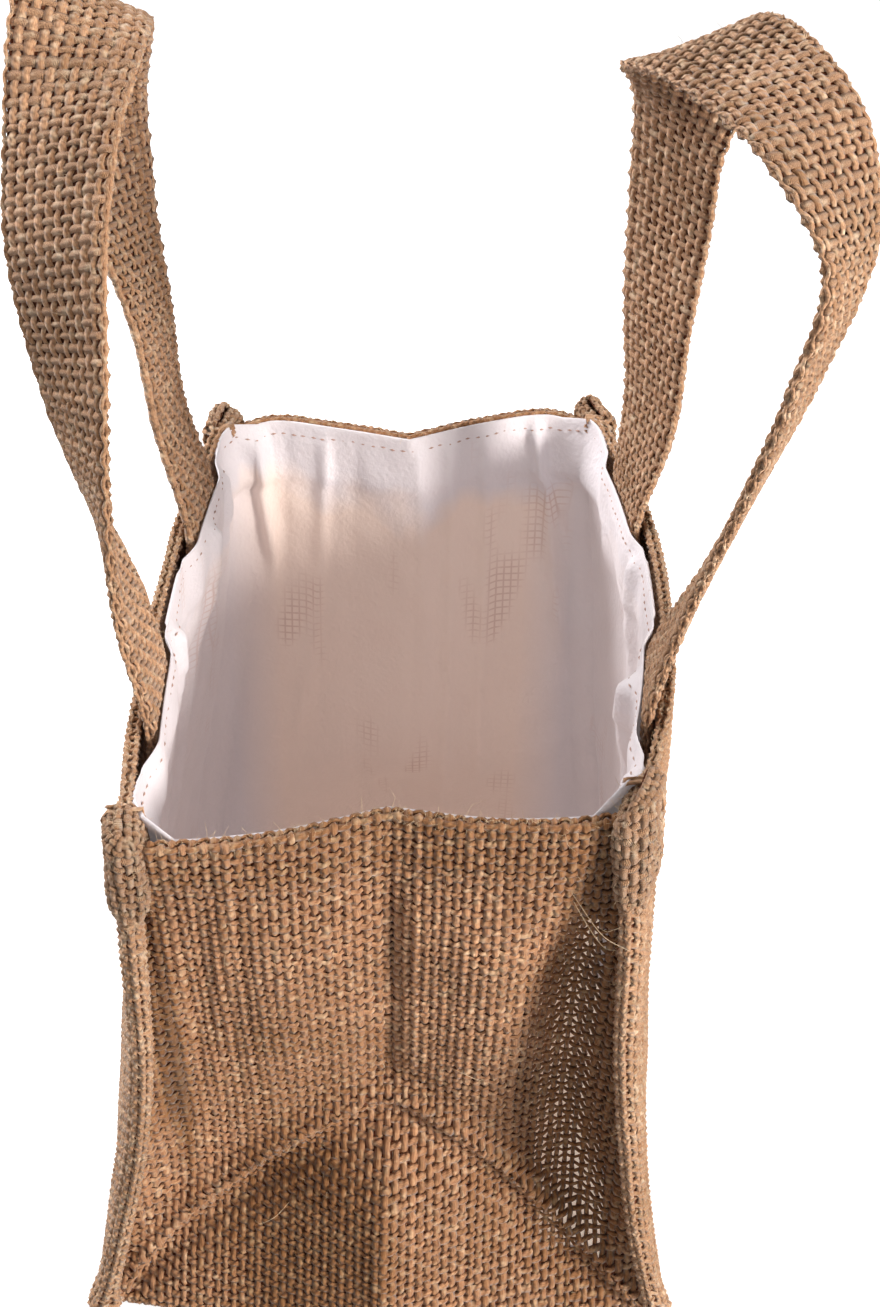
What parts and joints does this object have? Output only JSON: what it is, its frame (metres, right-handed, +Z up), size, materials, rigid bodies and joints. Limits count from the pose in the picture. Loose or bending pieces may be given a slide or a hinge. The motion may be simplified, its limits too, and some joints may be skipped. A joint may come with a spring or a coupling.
{
  "type": "fabric planter bag",
  "caption": "Small open jute planter bag standing on its base, with folded end gussets, raised corner seams, a pale sewn-in lining and two twisted strap handles",
  "frame": {"origin": "centre of the whole bag's footprint box, at the surface it stands on", "axes": "+Z up, +Y from the front gusset to the back gusset, +X to the right seen from the front"},
  "size_m": [0.1958, 0.2097, 0.3323],
  "materials": {
    "jute_walls": "undyed plain-weave jute, coarse and matt, single layer with a doubled hem and folded seam edges",
    "jute_gusset": "undyed plain-weave jute, coarse and matt, single open layer with a doubled hem",
    "coated_lining": "thin white coated lining cloth, soft sheen, slightly translucent over the jute",
    "jute_straps": "undyed jute folded to a flat strap and stitched along its edges"
  },
  "bodies": {
    "root": {"wall_left": "jute_walls", "wall_right": "jute_walls", "gusset_strip": "jute_gusset", "lining": "coated_lining", "handle_left": "jute_straps", "handle_right": "jute_straps"}
  },
  "joints": []
}
